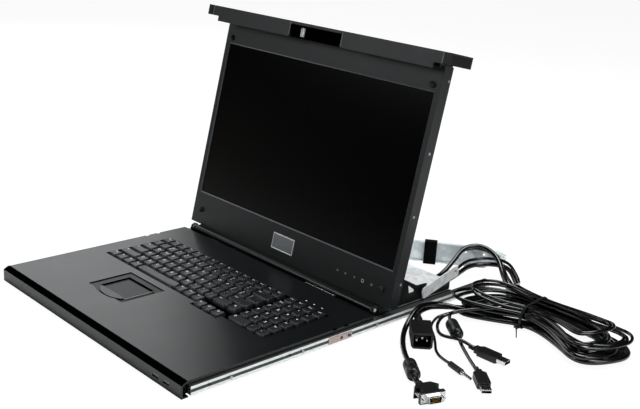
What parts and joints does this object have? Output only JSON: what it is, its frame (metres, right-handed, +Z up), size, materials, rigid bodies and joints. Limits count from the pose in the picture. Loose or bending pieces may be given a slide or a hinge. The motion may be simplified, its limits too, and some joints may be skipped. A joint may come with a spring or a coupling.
{
  "type": "rackmount lcd console drawer",
  "caption": "Sliding rack drawer with keyboard and touchpad, fold-up display behind a rack-width bezel, folding cable arm and a tied bundle of computer leads.",
  "frame": {"origin": "centre of the tray's underside, on the plane the tray lies on", "axes": "+X to the user's right, +Y to the back of the rack, +Z up"},
  "size_m": [0.7193, 0.619, 0.3617],
  "materials": {
    "zinc_rail": "zinc plated sheet steel, cold rolled",
    "galvanised": "galvanised sheet steel",
    "black_painted": "satin black powder coat",
    "black_moulded": "satin black, fine texture",
    "black_plastic": "matt black plastic",
    "keycap": "satin black keycaps with pale legends",
    "touchpad_skin": "smooth black plastic",
    "screen": "dark glossy panel, switched off",
    "bright_metal": "bright nickel plate",
    "lever_metal": "passivated steel strip",
    "badge": "brushed aluminium, bare",
    "rubber": "black rubber",
    "cable_sheath": "glossy black cable sheath",
    "tie": "black nylon tie",
    "strap": "black hook-and-loop tape",
    "plug_body": "black moulded plug"
  },
  "bodies": {
    "rails": {"outer_rails": "zinc_rail"},
    "slide_middle": {"middle_rails": "zinc_rail"},
    "drawer": {"inner_rails": "zinc_rail", "base_pan": "galvanised", "deck_plate": "black_painted", "front_bar": "black_painted", "usb_sockets": "bright_metal", "keyboard_tray": "black_plastic", "touchpad_frame": "black_plastic", "touchpad_surface": "touchpad_skin", "hinge_brackets": "black_painted", "hinge_pins": "bright_metal", "electronics_cover": "black_painted", "cable_post": "galvanised", "cable_glands": "rubber", "arm_bracket": "galvanised", "arm_root_pin": "bright_metal", "video_feed": "cable_sheath", "power_feed": "cable_sheath", "power_tail": "cable_sheath", "video_tail": "cable_sheath", "video_tail_end": "cable_sheath", "usb_tail_a": "cable_sheath", "usb_tail_a_end": "cable_sheath", "usb_tail_b": "cable_sheath", "audio_tail": "cable_sheath", "cable_hank": "cable_sheath", "cable_ties": "tie", "ferrites": "plug_body", "video_plug": "plug_body", "power_plug": "plug_body", "usb_plug_a": "plug_body", "usb_plug_b": "plug_body", "audio_plug": "plug_body", "connector_shells": "bright_metal"},
    "display": {"display_bezel": "black_moulded", "screen_panel": "screen", "display_rear_cover": "black_moulded", "hinge_barrel": "black_moulded", "bezel_channel": "black_painted", "front_bezel": "black_moulded", "bezel_end_caps": "black_plastic", "latch_housing": "black_plastic", "bumpers": "rubber", "badge_plate": "badge"},
    "latch": {"latch_slide": "bright_metal"},
    "arm_inner": {"arm_link_inner": "galvanised", "arm_strap": "strap"},
    "arm_outer": {"arm_link_outer": "galvanised"},
    "lever_right": {"rail_lever_right": "lever_metal"},
    "lever_left": {"rail_lever_left": "lever_metal"},
    "button_left": {"touchpad_button_left": "touchpad_skin"},
    "button_right": {"touchpad_button_right": "touchpad_skin"},
    "key_row_function": {"key_row_function": "keycap"},
    "key_row_number": {"key_row_number": "keycap"},
    "key_row_upper": {"key_row_upper": "keycap"},
    "key_row_home": {"key_row_home": "keycap"},
    "key_row_shift": {"key_row_shift": "keycap"},
    "key_row_bottom": {"key_row_bottom": "keycap"},
    "space_bar": {"space_bar": "keycap"}
  },
  "joints": [
    {"name": "middle_slide", "type": "slide", "parent": "rails", "child": "slide_middle", "axis": [0, -1, 0], "range_m": [0, 0.2]},
    {"name": "drawer_slide", "type": "slide", "parent": "slide_middle", "child": "drawer", "axis": [0, -1, 0], "range_m": [0, 0.2]},
    {"name": "display_hinge", "type": "hinge", "parent": "drawer", "child": "display", "pos_m": [0, 0.161, 0.0208], "axis": [1, 0, 0], "range_deg": [-8, 101.87]},
    {"name": "latch_travel", "type": "slide", "parent": "display", "child": "latch", "axis": [1, 0, 0], "range_m": [0, 0.005], "stiffness_N_per_m": 300},
    {"name": "arm_root", "type": "hinge", "parent": "drawer", "child": "arm_inner", "pos_m": [0.02, 0.337, 0.021], "axis": [0, 0, 1], "range_deg": [0, 30]},
    {"name": "arm_elbow", "type": "hinge", "parent": "arm_inner", "child": "arm_outer", "pos_m": [0.17201, 0.45705, 0.021], "axis": [0, 0, 1], "range_deg": [0, 40]},
    {"name": "lever_right_press", "type": "hinge", "parent": "rails", "child": "lever_right", "pos_m": [0.2125, 0.1, 0.0088], "axis": [1, 0, 0], "range_deg": [0, 5], "stiffness_Nm_per_rad": 0.5},
    {"name": "lever_left_press", "type": "hinge", "parent": "rails", "child": "lever_left", "pos_m": [-0.2125, 0.1, 0.0088], "axis": [1, 0, 0], "range_deg": [0, 5], "stiffness_Nm_per_rad": 0.5},
    {"name": "button_left_press", "type": "slide", "parent": "drawer", "child": "button_left", "axis": [0, 0, -1], "range_m": [0, 0.0012], "stiffness_N_per_m": 800},
    {"name": "button_right_press", "type": "slide", "parent": "drawer", "child": "button_right", "axis": [0, 0, -1], "range_m": [0, 0.0012], "stiffness_N_per_m": 800},
    {"name": "key_row_function_press", "type": "slide", "parent": "drawer", "child": "key_row_function", "axis": [0, 0, -1], "range_m": [0, 0.002], "stiffness_N_per_m": 2000},
    {"name": "key_row_number_press", "type": "slide", "parent": "drawer", "child": "key_row_number", "axis": [0, 0, -1], "range_m": [0, 0.002], "stiffness_N_per_m": 2000},
    {"name": "key_row_upper_press", "type": "slide", "parent": "drawer", "child": "key_row_upper", "axis": [0, 0, -1], "range_m": [0, 0.002], "stiffness_N_per_m": 2000},
    {"name": "key_row_home_press", "type": "slide", "parent": "drawer", "child": "key_row_home", "axis": [0, 0, -1], "range_m": [0, 0.002], "stiffness_N_per_m": 2000},
    {"name": "key_row_shift_press", "type": "slide", "parent": "drawer", "child": "key_row_shift", "axis": [0, 0, -1], "range_m": [0, 0.002], "stiffness_N_per_m": 2000},
    {"name": "key_row_bottom_press", "type": "slide", "parent": "drawer", "child": "key_row_bottom", "axis": [0, 0, -1], "range_m": [0, 0.002], "stiffness_N_per_m": 2000},
    {"name": "space_bar_press", "type": "slide", "parent": "drawer", "child": "space_bar", "axis": [0, 0, -1], "range_m": [0, 0.002], "stiffness_N_per_m": 800}
  ],
  "couplings": [
    {"joint": "drawer_slide", "follows": "middle_slide", "ratio": 1}
  ]
}
